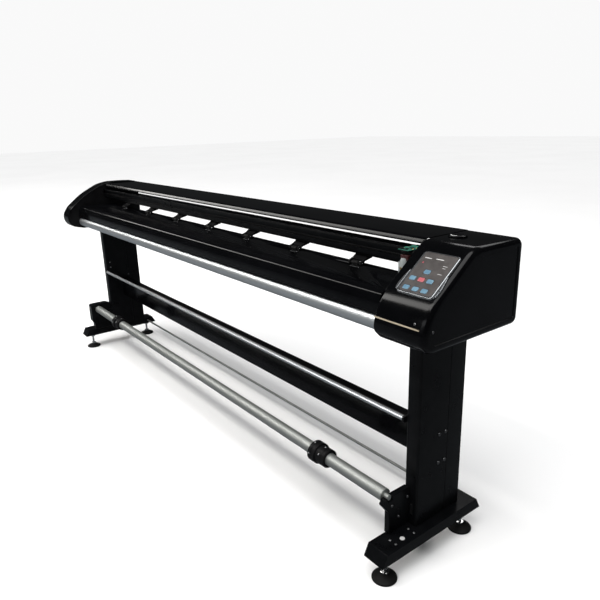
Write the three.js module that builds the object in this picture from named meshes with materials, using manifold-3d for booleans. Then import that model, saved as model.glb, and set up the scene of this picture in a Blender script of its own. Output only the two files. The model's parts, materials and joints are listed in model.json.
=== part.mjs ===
// Floor-standing roll vinyl cutter: two feet and columns carry a long bed with a cutting carriage,
// a control console and a take-up tube for the finished roll.
// Millimetres. +X along the machine to the operator's right, -Y the operator's side, +Z up from the floor.
import * as THREE from 'three';
import { mergeVertices } from 'three/addons/utils/BufferGeometryUtils.js';
import Module from 'manifold-3d';

const wasm = await Module();
wasm.setup();

// ---- driving dimensions -------------------------------------------------------------------------
const GAP = 0.3;                       // air left between pieces that touch or are screwed together
const HALF_LENGTH = 1415;              // outer face of each end housing

const COLUMN = { xIn: 1250, xOut: 1300, y0: -52, y1: 157, z0: 121, z1: 757, wall: 3, grooveY: 82 };
const FOOT = { xIn: 1254, xOut: 1334, yEnd: 231, chamfer: 20, z0: 82, z1: 121 };
const LEVEL = { x: 1294, y: 181, stud: 6, pad: 40, studTop: 112 };
const LOWER_BEAM = { y0: 36, y1: 80, z0: 308, z1: 421, wall: 3 };
const TIE_ROD = { y: 177, z: 102, r: 5.2 };
const GUIDE_ROD = { y: -56, z: 476, r: 7.4, lugLength: 8, lugY0: -65, lugY1: -38, lugHalf: 10 };

const TAKEUP = {
  y: -136, z: 247, r: 21.5, bore: 19, half: 1248, spindle: 9, leftSpindle: 11, rightSpindle: 17,
};
const COLLAR = { r: 37.5, sleeveR: 32.5, length: 78, rim: 34 };
const COLLAR_X = { left: -890, right: 951 };
const BRACKET = { x0: 1250.3, x1: 1270, slot: 11 };
const MOTOR_BOX = { x0: -1300, x1: -1250.3, bore: 12, boreDepth: 26 };

const LEFT_IN = -1310;                 // inner face of the left housing
const RIGHT_IN = 1234;                 // inner face of the right housing
const SHELL = 3;                       // wall of the moulded housings
const HOUSING_ROUND = 14;              // rounding of each housing's outer end
const MOUTH = 12;                      // depth of the wider mouth on a housing's inner side
const PLATE = 5;                       // steel side plates
const BED_BEAM = { y0: -95, y1: 150, z0: 757, z1: 840, wall: 4 };
const PLATEN = { z: 892, t: 3, rearY: 52, slotHalf: 24, slotY0: -11, slotY1: 19 };
const RAIL_BEAM = { y0: 22, y1: 72, z0: 926.5, z1: 978, wall: 3 };
const COVER = { y0: 20, y1: 219, z: 1014, t: 2, lip: 12, rearLip: 46 };
const FRONT_TUBE = { y: -140, z: 797.5, r: 24.7, bore: 21.7, spindle: 8, clear: 4 };
const TUBE_PLUG = 12;                  // solid end plug inside each roll tube
const TUBE_VENT = 4;                   // radius of the bore through the right-hand spindles

const FEED = { y: 4, z: 880, shaft: 7, grit: 12.7, gritHalf: 20, xEnd: 1300 };
const PINCH = { y: 4, z: 901, r: 8, half: 14, pin: 2.5, armHalf: 30, cheek: 8 };
const PINCH_X = [-974, -651, -321, 6, 320, 642, 966];
const MOTOR = { feedR: 28, feedLength: 60, carriageR: 26, carriageLength: 62, clear: 8 };

const RAIL = { y0: 14, y1: 21.7, z0: 936, z1: 951, x0: -1309, x1: 1233 };
const BELT = { z: 966, y0: 10, y1: 16, r: 9.3, t: 1.2, x0: -1345, x1: 1290 };
const CARRIAGE = { x0: 1186, x1: 1230, y0: -24, y1: 9, z0: 917, z1: 984 };
const TOOL = { x: 1208, y: -36, r: 11, z0: 902, z1: 962, tip: 894.5 };

const KNOB = { x: 1280, y: 108, stem: 5, stemDepth: 12, r: 28, z: 1014, height: 5.7 };
const INLET = { x0: 1290, x1: 1318, y0: 212, y1: 230, z0: 800, z1: 824, rim: 4, floorY: 217 };
const SWITCH = { x0: 1345, x1: 1361, y: 226, z0: 800, z1: 824, width: 15, depth: 7, height: 22, tilt: -7 };
const BOARD = { x0: 1409.8, x1: 1411.6, y0: 40, y1: 180, z0: 790, z1: 900 };

const SLOPE = { angle: 37.6 * Math.PI / 180, y: -132.8, z: 902.5 };
const PANEL = { x: 1335.5, width: 109, height: 139, t: 4 };
const KEY = { width: 20, height: 14, t: 3.7, lift: 1.6, gap: 0.5 };
const KEYS = [
  ['key_up', -7, 73], ['key_left', -37, 45], ['key_stop', -7.5, 45], ['key_right', 21.5, 45],
  ['key_speed', -36.5, 12.5], ['key_origin', -5, 12.5], ['key_start', 25, 12.5],
];

const LEFT_PROFILE = [
  [231, 757], [231, 1008], [204, 1018], [134, 1020], [60, 1020], [-3, 1009], [-58, 984], [-112, 954],
  [-167, 914], [-198, 885], [-220, 848], [-226, 820], [-222, 793], [-203, 774], [-178, 762], [-140, 757],
];
const RIGHT_PROFILE = [
  [231, 757], [231, 998], [218, 1013], [10, 1014], [-2, 1003], [-136, 900], [-162, 866], [-174, 837],
  [-182, 812], [-184, 799], [-180, 787], [-170, 774], [-153, 757],
];

// ---- materials ----------------------------------------------------------------------------------
const material = (color, roughness, metalness) => (
  new THREE.MeshStandardMaterial({ color, roughness, metalness }));
const LOOK = {
  glossBlack: () => material(0x0a0b0d, 0.18, 0.1),
  paintedBlack: () => material(0x101114, 0.38, 0.3),
  satinBlack: () => material(0x16171a, 0.55, 0.2),
  aluminium: () => material(0xb9bcbf, 0.35, 1.0),
  steel: () => material(0x8d9095, 0.3, 1.0),
  rubber: () => material(0x141414, 0.9, 0.0),
  panel: () => material(0x6f6a66, 0.45, 0.1),
  keyBlue: () => material(0x4f9fd0, 0.4, 0.0),
  keyRed: () => material(0xb84a4a, 0.4, 0.0),
  board: () => material(0x1f5a44, 0.5, 0.0),
};

// ---- shape helpers ------------------------------------------------------------------------------
const ALONG_X = new THREE.Vector3(1, 0, 0);
const ALONG_Y = new THREE.Vector3(0, 1, 0);
const ALONG_Z = new THREE.Vector3(0, 0, 1);
const AXES = {
  x: new THREE.Matrix4().makeBasis(ALONG_Y, ALONG_Z, ALONG_X),
  y: new THREE.Matrix4().makeBasis(ALONG_Z, ALONG_X, ALONG_Y),
  z: new THREE.Matrix4(),
};

function shapeOf(points) {
  return new THREE.Shape(points.map(([a, b]) => new THREE.Vector2(a, b)));
}

function prism(axis, points, from, to) {
  const settings = { depth: to - from, bevelEnabled: false, steps: 1 };
  const geometry = new THREE.ExtrudeGeometry(shapeOf(points), settings);
  geometry.translate(0, 0, from);
  return geometry.applyMatrix4(AXES[axis]);
}

// Extrudes an outline along an axis. The outline is in (Y, Z) for x, (Z, X) for y and (X, Y) for z.
function extrude(axis, points, from, to, holes = []) {
  const solid = prism(axis, points, from, to);
  if (holes.length === 0) return solid;
  return cut(solid, ...holes.map((hole) => prism(axis, hole, from - 1, to + 1)));
}

function rectangle(a0, a1, b0, b1) {
  return [[a0, b0], [a1, b0], [a1, b1], [a0, b1]];
}

function circle(a, b, r, count = 24) {
  const points = [];
  for (let i = 0; i < count; i += 1) {
    const angle = (i + 0.5) * 2 * Math.PI / count;
    points.push([a + r * Math.cos(angle), b + r * Math.sin(angle)]);
  }
  return points;
}

function block(x0, x1, y0, y1, z0, z1) {
  const geometry = new THREE.BoxGeometry(x1 - x0, y1 - y0, z1 - z0);
  return geometry.translate((x0 + x1) / 2, (y0 + y1) / 2, (z0 + z1) / 2);
}

// Moves each side of an outline inwards by the same distance.
function inset(points, distance) {
  const area = points.reduce((sum, [a, b], i) => {
    const [c, d] = points[(i + 1) % points.length];
    return sum + a * d - c * b;
  }, 0);
  const side = Math.sign(area);
  const normal = (p, q) => {
    const length = Math.hypot(q[0] - p[0], q[1] - p[1]);
    return [-(q[1] - p[1]) / length * side, (q[0] - p[0]) / length * side];
  };
  return points.map((point, i) => {
    const before = normal(points[(i + points.length - 1) % points.length], point);
    const after = normal(point, points[(i + 1) % points.length]);
    const scale = distance / (1 + before[0] * after[0] + before[1] * after[1]);
    return [point[0] + (before[0] + after[0]) * scale, point[1] + (before[1] + after[1]) * scale];
  });
}

// Turned piece along X: pairs of [x, radius], starting and ending on the axis.
function turned(pairs, y, z, segments = 24) {
  const profile = pairs.map(([x, r]) => new THREE.Vector2(r, x));
  const geometry = new THREE.LatheGeometry(profile, segments, Math.PI / segments);
  geometry.applyMatrix4(new THREE.Matrix4().makeBasis(ALONG_Y, ALONG_X, ALONG_Z.clone().negate()));
  return geometry.translate(0, y, z);
}

// Turned piece along Z: pairs of [radius, z].
function turnedUpright(pairs, segments = 20) {
  const profile = pairs.map(([r, z]) => new THREE.Vector2(r, z));
  const geometry = new THREE.LatheGeometry(profile, segments, Math.PI / segments);
  return geometry.rotateX(Math.PI / 2);
}

function toManifold(geometry) {
  const bare = geometry.index ? geometry.toNonIndexed() : geometry.clone();
  bare.deleteAttribute('normal');
  bare.deleteAttribute('uv');
  const merged = mergeVertices(bare, 1e-4);
  const kept = [];
  const index = merged.index.array;
  for (let i = 0; i < index.length; i += 3) {
    const [a, b, c] = [index[i], index[i + 1], index[i + 2]];
    if (a !== b && b !== c && a !== c) kept.push(a, b, c);
  }
  const mesh = new wasm.Mesh({
    numProp: 3,
    vertProperties: new Float32Array(merged.attributes.position.array),
    triVerts: new Uint32Array(kept),
  });
  return new wasm.Manifold(mesh);
}

function fromManifold(solid) {
  const mesh = solid.getMesh();
  const geometry = new THREE.BufferGeometry();
  geometry.setAttribute('position', new THREE.BufferAttribute(new Float32Array(mesh.vertProperties), 3));
  geometry.setIndex(new THREE.BufferAttribute(new Uint32Array(mesh.triVerts), 1));
  const flat = geometry.toNonIndexed();
  flat.computeVertexNormals();
  return flat;
}

function cut(base, ...tools) {
  return fromManifold(tools.reduce((solid, tool) => solid.subtract(toManifold(tool)), toManifold(base)));
}

function join(base, ...others) {
  return fromManifold(others.reduce((solid, other) => solid.add(toManifold(other)), toManifold(base)));
}

// ---- the object ---------------------------------------------------------------------------------
const machine = new THREE.Group();
machine.name = 'vinyl_cutter';

function addNode(parent, name, geometry, look) {
  const mesh = new THREE.Mesh(geometry, look);
  mesh.name = name;
  parent.add(mesh);
  return mesh;
}

// Foot: a box section with sloped ends, bored from below for the two levelling studs.
function footBeam(side) {
  const { xIn, xOut, yEnd, chamfer, z0, z1 } = FOOT;
  const outline = [[-yEnd, z0], [yEnd, z0], [yEnd - chamfer, z1 - GAP], [-yEnd + chamfer, z1 - GAP]];
  const [from, to] = side > 0 ? [xIn, xOut] : [-xOut, -xIn];
  const bores = [-LEVEL.y, LEVEL.y].map((y) => (
    extrude('z', circle(side * LEVEL.x, y, LEVEL.stud + 0.5, 20), z0 - 1, z1 - 5)));
  return cut(extrude('x', outline, from, to), ...bores);
}

// Levelling foot: domed pad, threaded stud and lock nut in one turned piece standing on the floor.
function levellingFoot() {
  const { pad, stud, studTop } = LEVEL;
  return turnedUpright([
    [0, 0], [pad, 0], [pad, 5], [pad - 4, 10], [18, 19], [13, 26], [stud, 26], [stud, 66],
    [13, 66], [13, FOOT.z0 - GAP], [stud, FOOT.z0 - GAP], [stud, studTop], [0, studTop],
  ]);
}

// Column: hollow upright open at both ends, with a shadow groove where its two sections meet.
function column(side) {
  const { xIn, xOut, y0, y1, z0, z1, wall, grooveY } = COLUMN;
  const a = side > 0 ? xIn : -xOut;
  const b = side > 0 ? xOut : -xIn;
  const corner = 5;
  const outline = [
    [a, y0 + corner], [a + corner, y0], [b - corner, y0], [b, y0 + corner],
    [b, grooveY - 2], [b - 1.5, grooveY - 1], [b - 1.5, grooveY + 1], [b, grooveY + 2],
    [b, y1 - corner], [b - corner, y1], [a + corner, y1], [a, y1 - corner],
    [a, grooveY + 2], [a + 1.5, grooveY + 1], [a + 1.5, grooveY - 1], [a, grooveY - 2],
  ];
  const hollow = rectangle(a + 2 * wall, b - 2 * wall, y0 + wall, y1 - wall);
  return extrude('z', outline, z0, z1 - GAP, [hollow]);
}

function lowerBeam() {
  const { y0, y1, z0, z1, wall } = LOWER_BEAM;
  const r = 4;
  const outline = [
    [y0 + r, z0], [y1 - r, z0], [y1, z0 + r], [y1, z1 - r],
    [y1 - r, z1], [y0 + r, z1], [y0, z1 - r], [y0, z0 + r],
  ];
  const end = COLUMN.xIn - GAP;
  return extrude('x', outline, -end, end, [rectangle(y0 + wall, y1 - wall, z0 + wall, z1 - wall)]);
}

// Bright rod in front of the columns, with a lug at each end that screws to the column's inner face.
function guideRod() {
  const { y, z, r, lugLength, lugY0, lugY1, lugHalf } = GUIDE_ROD;
  const end = COLUMN.xIn - GAP;
  const rod = extrude('x', circle(y, z, r, 16), -end + 1, end - 1);
  const lug = (x0, x1) => block(x0, x1, lugY0, lugY1, z - lugHalf, z + lugHalf);
  return join(rod, lug(end - lugLength, end), lug(-end, -end + lugLength));
}

// Hollow roll tube with a spindle at each end; the bore opens through the right-hand spindle.
function rollTube({ y, z, r, bore, spindle, from, to, leftEnd, rightEnd }) {
  const outer = turned([[leftEnd, 0], [leftEnd, spindle], [from, spindle], [from, r],
    [to, r], [to, spindle], [rightEnd, spindle], [rightEnd, 0]], y, z);
  const hollow = turned([[from + TUBE_PLUG, 0], [from + TUBE_PLUG, bore], [to - TUBE_PLUG, bore],
    [to - TUBE_PLUG, TUBE_VENT], [rightEnd + 1, TUBE_VENT], [rightEnd + 1, 0]], y, z);
  return cut(outer, hollow);
}

function takeupTube() {
  const { y, z, r, bore, half, spindle, leftSpindle, rightSpindle } = TAKEUP;
  const leftEnd = -half - leftSpindle;
  const rightEnd = half + rightSpindle;
  return rollTube({ y, z, r, bore, spindle, from: -half, to: half, leftEnd, rightEnd });
}

function frontTube() {
  const { y, z, r, bore, spindle, clear } = FRONT_TUBE;
  const from = LEFT_IN + clear;
  const to = RIGHT_IN - clear;
  const leftEnd = LEFT_IN - clear;
  const rightEnd = RIGHT_IN + clear;
  return rollTube({ y, z, r, bore, spindle, from, to, leftEnd, rightEnd });
}

// Roll-end collar: a flanged clamp ring that slides along the take-up tube.
function takeupCollar(x) {
  const { y, z, r } = TAKEUP;
  const from = x - COLLAR.length / 2;
  const to = x + COLLAR.length / 2;
  const sleeve = extrude('x', circle(y, z, COLLAR.sleeveR), from, to);
  const rim = extrude('x', circle(y, z, COLLAR.r), from, from + COLLAR.rim);
  const bore = extrude('x', circle(y, z, r + 2 * GAP), from - 1, to + 1);
  return cut(join(sleeve, rim), bore);
}

// Right take-up bracket: a folded upright on the foot whose open slot carries the tube's spindle.
function takeupBracket() {
  const { x0, x1, slot } = BRACKET;
  const { y, z } = TAKEUP;
  const back = COLUMN.y0 - GAP;
  const outline = [
    [back, FOOT.z1 + GAP], [back, z + 4], [y + slot, z + 4], [y + slot, z - slot], [y - slot, z - slot],
    [y - slot, z + 2], [y - slot - 9, z + 1], [-166, z - 16], [-140, z - 50], [-140, FOOT.z1 + GAP],
  ];
  return extrude('x', outline, x0, x1);
}

// Left take-up drive box: stands on the foot in front of the column and turns the tube's left end.
function takeupMotorBox() {
  const { x0, x1, bore, boreDepth } = MOTOR_BOX;
  const back = COLUMN.y0 - GAP;
  const outline = [
    [back, FOOT.z1 + GAP], [back, 269], [-78, 281], [-173, 281], [-180, 272], [-180, 177],
    [-166, 153], [-166, FOOT.z1 + GAP],
  ];
  const socket = extrude('x', circle(TAKEUP.y, TAKEUP.z, bore, 20), x1 - boreDepth, x1 + 1);
  return cut(extrude('x', outline, x0, x1), socket);
}

function bedBeam() {
  const { y0, y1, z0, z1, wall } = BED_BEAM;
  const hollow = rectangle(y0 + wall, y1 - wall, z0 + wall, z1 - wall);
  return extrude('x', rectangle(y0, y1, z0, z1), LEFT_IN + GAP, RIGHT_IN - GAP, [hollow]);
}

// Bed plate: one folded sheet from the front apron over the flat platen and down the rear guide.
function platen() {
  const { z, t, rearY, slotHalf, slotY0, slotY1 } = PLATEN;
  const top = [
    [-161, 828], [-161, 846], [-157, 862], [-147, 877], [-133, 888], [-120, z], [rearY - 4, z],
    [rearY, z - 2], [140, 848], [212, 820],
  ];
  const outline = [
    ...top, [211, 820 - t], [139, 848 - t], [rearY - 2, z - 2 - t], [rearY - 5, z - t], [-120, z - t],
    [-131, 885], [-144, 875], [-154, 861], [-158, 846], [-158, 828],
  ];
  const sheet = extrude('x', outline, LEFT_IN + GAP, RIGHT_IN - GAP);
  const slots = PINCH_X.map((x) => block(x - slotHalf, x + slotHalf, slotY0, slotY1, z - t - 2, z + 2));
  return cut(sheet, ...slots);
}

function railBeam() {
  const { y0, y1, z0, z1, wall } = RAIL_BEAM;
  const hollow = rectangle(y0 + wall, y1 - wall, z0 + wall, z1 - wall);
  return extrude('x', rectangle(y0, y1, z0, z1), LEFT_IN + GAP, RIGHT_IN - GAP, [hollow]);
}

// Top cover: a sheet with a rounded front lip and a short rear skirt, clear above the rail beam.
function topCover() {
  const { y0, y1, z, t, lip, rearLip } = COVER;
  const outline = [
    [y0, z - lip], [y0, z - 5], [y0 + 1.5, z - 1.5], [y0 + 5, z],
    [y1 - 4, z], [y1, z - 4], [y1, z - rearLip],
    [y1 - t, z - rearLip], [y1 - t, z - 4.8], [y1 - 4.8, z - t], [y0 + 5.5, z - t],
    [y0 + 3, z - 3], [y0 + t, z - 5.5], [y0 + t, z - lip],
  ];
  return extrude('x', outline, LEFT_IN + GAP, RIGHT_IN - GAP);
}

// Rounded outer solid of an end housing, cut square at its inner face.
function housingBody(profile, inner, outer) {
  const radius = HOUSING_ROUND;
  const side = Math.sign(outer - inner);
  const spare = 40;
  const length = Math.abs(outer - inner) + spare;
  const shape = shapeOf(profile);
  const body = new THREE.ExtrudeGeometry(shape, {
    depth: length - 2 * radius, steps: 1, bevelEnabled: true,
    bevelThickness: radius, bevelSize: radius, bevelOffset: -radius, bevelSegments: 3,
  });
  const from = side > 0 ? outer - length + radius : outer + radius;
  body.translate(0, 0, from);
  body.applyMatrix4(AXES.x);
  const trimEnds = [inner, inner - side * 5 * spare].sort((a, b) => a - b);
  const trim = block(...trimEnds, -HALF_LENGTH, HALF_LENGTH, 0, HALF_LENGTH);
  return { body, trim };
}

// Space inside a housing, with a wider mouth for the side plate that closes its inner side.
function housingSpace(profile, inner, outer) {
  const side = Math.sign(outer - inner);
  const spaceEnds = [inner - side * 5, outer - side * SHELL].sort((a, b) => a - b);
  const mouthEnds = [inner - side * 5, inner + side * MOUTH].sort((a, b) => a - b);
  const space = extrude('x', inset(profile, SHELL + 8), ...spaceEnds);
  const mouth = extrude('x', inset(profile, SHELL), ...mouthEnds);
  return toManifold(space).add(toManifold(mouth));
}

function housingLeft() {
  const { body, trim } = housingBody(LEFT_PROFILE, LEFT_IN, -HALF_LENGTH);
  const solid = toManifold(body).subtract(toManifold(trim));
  return fromManifold(solid.subtract(housingSpace(LEFT_PROFILE, LEFT_IN, -HALF_LENGTH)));
}

// Right housing: open underneath over the base flange, with rear openings for the inlet and switch.
function housingRight() {
  const { body, trim } = housingBody(RIGHT_PROFILE, RIGHT_IN, HALF_LENGTH);
  const under = extrude('x', rectangle(-140, 218, 740, 780), RIGHT_IN - 5, HALF_LENGTH - 14);
  const inlet = block(INLET.x0 - 0.4, INLET.x1 + 0.4, 200, 240, INLET.z0 - 0.4, INLET.z1 + 0.4);
  const toggle = block(SWITCH.x0 - 0.6, SWITCH.x1 + 0.6, 200, 240, SWITCH.z0 - 2, SWITCH.z1 + 2);
  const knobHole = extrude('z', circle(KNOB.x, KNOB.y, KNOB.stem + 0.5, 16), 990, 1030);
  const solid = [trim, under, inlet, toggle, knobHole]
    .reduce((rest, tool) => rest.subtract(toManifold(tool)), toManifold(body));
  return fromManifold(solid.subtract(housingSpace(RIGHT_PROFILE, RIGHT_IN, HALF_LENGTH)));
}

// Holes in both side plates for the feed shaft, the front tube's spindle and the belt.
function plateHoles() {
  return [
    circle(FEED.y, FEED.z, FEED.shaft + 0.6),
    circle(FRONT_TUBE.y, FRONT_TUBE.z, FRONT_TUBE.spindle + 0.5),
    rectangle(BELT.y0 - 4, BELT.y1 + 4, BELT.z - 15, BELT.z + 13),
  ];
}

function sidePlateLeft() {
  const outline = inset(LEFT_PROFILE, SHELL + 0.6);
  return extrude('x', outline, LEFT_IN - PLATE - 1, LEFT_IN - 1, plateHoles());
}

// Right side plate with the base flange that bolts down onto the right column.
function sidePlateRight() {
  const outline = inset(RIGHT_PROFILE, SHELL + 0.6);
  const plate = extrude('x', outline, RIGHT_IN + 1, RIGHT_IN + 1 + PLATE, plateHoles());
  const flange = block(RIGHT_IN + 3, HALF_LENGTH - 18, -136, 214, COLUMN.z1, COLUMN.z1 + 5);
  return join(plate, flange);
}

// Feed shaft with one knurled drive roller under each pinch roller.
function feedShaft() {
  const { y, z, shaft, grit, gritHalf, xEnd } = FEED;
  const pairs = [[LEFT_IN - 7, 0], [LEFT_IN - 7, shaft]];
  for (const x of PINCH_X) {
    pairs.push([x - gritHalf, shaft], [x - gritHalf, grit], [x + gritHalf, grit], [x + gritHalf, shaft]);
  }
  pairs.push([xEnd, shaft], [xEnd, 0]);
  return turned(pairs, y, z, 20);
}

// Pinch arm: a block hinged under the rail beam with two cheeks that carry the roller's pin.
function pinchArm(x) {
  const { y, z, pin, armHalf, cheek } = PINCH;
  const outline = [
    [50, 925], [34, 925], [20, 915], [y + 4, 910], [y - 5, 908],
    [y - 7, z], [y, z - 6.5], [y + 7, z], [16, 908], [50, 916],
  ];
  const body = extrude('x', outline, x - armHalf, x + armHalf);
  const bay = block(x - armHalf + cheek, x + armHalf - cheek, y - 30, y + 10, z - 20, 930);
  const pinHole = extrude('x', circle(y, z, pin + 0.4, 12), x - armHalf - 1, x + armHalf + 1);
  return cut(body, bay, pinHole);
}

function pinchRoller(x) {
  const { y, z, r, half, pin, armHalf } = PINCH;
  return turned([[x - armHalf, 0], [x - armHalf, pin], [x - half, pin], [x - half, r],
    [x + half, r], [x + half, pin], [x + armHalf, pin], [x + armHalf, 0]], y, z, 16);
}

// Carriage: a block whose rear jaws run above and below the linear rail.
function carriage() {
  const { x0, x1, y0, y1, z0, z1 } = CARRIAGE;
  const jaw = RAIL.y1 - 0.7;
  const grip = 4;
  const clear = 0.4;
  const outline = [
    [y0, z0 + 4], [y0, z1 - 6], [y0 + 6, z1], [y1, z1], [y1, RAIL.z1 + grip], [jaw, RAIL.z1 + grip],
    [jaw, RAIL.z1 + clear], [RAIL.y0 - clear, RAIL.z1 + clear], [RAIL.y0 - clear, RAIL.z0 - clear],
    [jaw, RAIL.z0 - clear], [jaw, RAIL.z0 - grip], [y1, RAIL.z0 - grip], [y1, z0], [y0 + 4, z0],
  ];
  return extrude('x', outline, x0, x1);
}

// Tool holder: slide plate and round knife barrel with its tip just above the platen.
function toolHolder() {
  const { x, y, r, z0, z1, tip } = TOOL;
  const barrel = turnedUpright([
    [0, tip], [1, tip], [3, z0 - 4], [r - 4, z0], [r, z0 + 8], [r, z1 - 6], [r - 3, z1], [0, z1],
  ]);
  barrel.translate(x, y, 0);
  const plate = block(x - 18, x + 18, y - 4, CARRIAGE.y0 - GAP, z0 + 14, z1 - 12);
  return join(barrel, plate);
}

// Toothed belt loop, modelled as a plain band round both pulleys.
function driveBelt() {
  const { z, y0, y1, r, t, x0, x1 } = BELT;
  const loop = (radius) => {
    const points = [];
    for (let i = 0; i <= 8; i += 1) {
      const angle = -Math.PI / 2 + i * Math.PI / 8;
      points.push([z + radius * Math.sin(angle), x1 + radius * Math.cos(angle)]);
    }
    for (let i = 0; i <= 8; i += 1) {
      const angle = Math.PI / 2 + i * Math.PI / 8;
      points.push([z + radius * Math.sin(angle), x0 + radius * Math.cos(angle)]);
    }
    return points;
  };
  return extrude('y', loop(r + t), y0, y1, [loop(r)]);
}

function pulley(x) {
  return extrude('y', circle(BELT.z, x, BELT.r - GAP, 16), BELT.y0 - 1, BELT.y1 + 1);
}

function turnKnob() {
  const { x, y, stem, stemDepth, r, z, height } = KNOB;
  const top = z + height;
  const foot = z - stemDepth;
  const knob = turnedUpright([
    [0, foot], [stem, foot], [stem, z + GAP], [r, z + GAP], [r - 1, z + 4], [r - 4, top], [0, top],
  ]);
  return knob.translate(x, y, 0);
}

function keyOutline(u, v, grow) {
  const { width, height } = KEY;
  return rectangle(u - width / 2 - grow, u + width / 2 + grow, v - height / 2 - grow, v + height / 2 + grow);
}

// Console plate lying on the sloped face, pierced for its keys.
function controlPanel() {
  const { width, height, t } = PANEL;
  const r = 5;
  const w = width / 2;
  const outline = [
    [-w + r, 0], [w - r, 0], [w, r], [w, height - r],
    [w - r, height], [-w + r, height], [-w, height - r], [-w, r],
  ];
  return extrude('z', outline, GAP, GAP + t, KEYS.map(([, u, v]) => keyOutline(u, v, KEY.gap)));
}

function buildStand() {
  for (const [name, side] of [['left', -1], ['right', 1]]) {
    addNode(machine, `foot_beam_${name}`, footBeam(side), LOOK.paintedBlack());
    addNode(machine, `column_${name}`, column(side), LOOK.paintedBlack());
    for (const [end, direction] of [['front', -1], ['rear', 1]]) {
      const foot = addNode(machine, `levelling_foot_${name}_${end}`, levellingFoot(), LOOK.rubber());
      foot.position.set(side * LEVEL.x, direction * LEVEL.y, 0);
    }
  }
  addNode(machine, 'lower_beam', lowerBeam(), LOOK.glossBlack());
  const tieEnd = FOOT.xIn - GAP;
  const tieRod = extrude('x', circle(TIE_ROD.y, TIE_ROD.z, TIE_ROD.r, 12), -tieEnd, tieEnd);
  addNode(machine, 'tie_rod', tieRod, LOOK.steel());
  addNode(machine, 'guide_rod', guideRod(), LOOK.aluminium());
}

function buildTakeup() {
  addNode(machine, 'takeup_tube', takeupTube(), LOOK.aluminium());
  addNode(machine, 'takeup_collar_left', takeupCollar(COLLAR_X.left), LOOK.satinBlack());
  addNode(machine, 'takeup_collar_right', takeupCollar(COLLAR_X.right), LOOK.satinBlack());
  addNode(machine, 'takeup_bracket', takeupBracket(), LOOK.paintedBlack());
  addNode(machine, 'takeup_motor_box', takeupMotorBox(), LOOK.paintedBlack());
}

function buildBed() {
  addNode(machine, 'bed_beam', bedBeam(), LOOK.paintedBlack());
  addNode(machine, 'platen', platen(), LOOK.glossBlack());
  addNode(machine, 'rail_beam', railBeam(), LOOK.paintedBlack());
  addNode(machine, 'top_cover', topCover(), LOOK.glossBlack());
  addNode(machine, 'housing_left', housingLeft(), LOOK.glossBlack());
  addNode(machine, 'housing_right', housingRight(), LOOK.glossBlack());
  addNode(machine, 'side_plate_left', sidePlateLeft(), LOOK.satinBlack());
  addNode(machine, 'side_plate_right', sidePlateRight(), LOOK.satinBlack());
  addNode(machine, 'front_tube', frontTube(), LOOK.aluminium());
}

function buildFeed() {
  addNode(machine, 'feed_shaft', feedShaft(), LOOK.steel());
  const face = FEED.xEnd + 1;
  const motor = extrude('x', circle(FEED.y, FEED.z, MOTOR.feedR), face, face + MOTOR.feedLength);
  addNode(machine, 'feed_motor', motor, LOOK.satinBlack());
  PINCH_X.forEach((x, i) => {
    addNode(machine, `pinch_arm_${i + 1}`, pinchArm(x), LOOK.satinBlack());
    addNode(machine, `pinch_roller_${i + 1}`, pinchRoller(x), LOOK.rubber());
  });
}

function buildCarriage() {
  const rail = block(RAIL.x0, RAIL.x1, RAIL.y0, RAIL.y1, RAIL.z0, RAIL.z1);
  addNode(machine, 'linear_rail', rail, LOOK.steel());
  addNode(machine, 'carriage', carriage(), LOOK.satinBlack());
  addNode(machine, 'tool_holder', toolHolder(), LOOK.aluminium());
  addNode(machine, 'drive_belt', driveBelt(), LOOK.rubber());
  addNode(machine, 'drive_pulley', pulley(BELT.x1), LOOK.aluminium());
  addNode(machine, 'idler_pulley', pulley(BELT.x0), LOOK.aluminium());
  const face = BELT.y1 + MOTOR.clear;
  const motor = extrude('y', circle(BELT.z, BELT.x1, MOTOR.carriageR), face, face + MOTOR.carriageLength);
  addNode(machine, 'carriage_motor', motor, LOOK.satinBlack());
}

function powerInlet() {
  const { x0, x1, y0, y1, z0, z1, rim, floorY } = INLET;
  const body = block(x0, x1, y0, y1, z0, z1);
  const socket = block(x0 + rim, x1 - rim, floorY, y1 + 10, z0 + rim, z1 - rim);
  return cut(body, socket);
}

function buildConsole() {
  const slope = new THREE.Group();
  slope.name = 'console';
  slope.position.set(PANEL.x, SLOPE.y, SLOPE.z);
  slope.rotation.x = SLOPE.angle;
  machine.add(slope);
  addNode(slope, 'control_panel', controlPanel(), LOOK.panel());
  for (const [name, u, v] of KEYS) {
    const key = extrude('z', keyOutline(u, v, 0), KEY.lift, KEY.lift + KEY.t);
    addNode(slope, name, key, name === 'key_stop' ? LOOK.keyRed() : LOOK.keyBlue());
  }
  addNode(machine, 'turn_knob', turnKnob(), LOOK.steel());
}

function buildPower() {
  addNode(machine, 'power_inlet', powerInlet(), LOOK.satinBlack());
  const rocker = new THREE.BoxGeometry(SWITCH.width, SWITCH.depth, SWITCH.height);
  const toggle = addNode(machine, 'power_switch', rocker, LOOK.satinBlack());
  toggle.position.set((SWITCH.x0 + SWITCH.x1) / 2, SWITCH.y, (SWITCH.z0 + SWITCH.z1) / 2);
  toggle.rotation.x = SWITCH.tilt * Math.PI / 180;
  const board = block(BOARD.x0, BOARD.x1, BOARD.y0, BOARD.y1, BOARD.z0, BOARD.z1);
  addNode(machine, 'control_board', board, LOOK.board());
}

buildStand();
buildTakeup();
buildBed();
buildFeed();
buildCarriage();
buildConsole();
buildPower();

export default machine;
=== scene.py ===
"""Looks of the floor-standing roll vinyl cutter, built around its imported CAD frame. Metres."""

import json
import math

import bmesh
import bpy
from mathutils import Euler, Matrix, Vector


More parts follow.
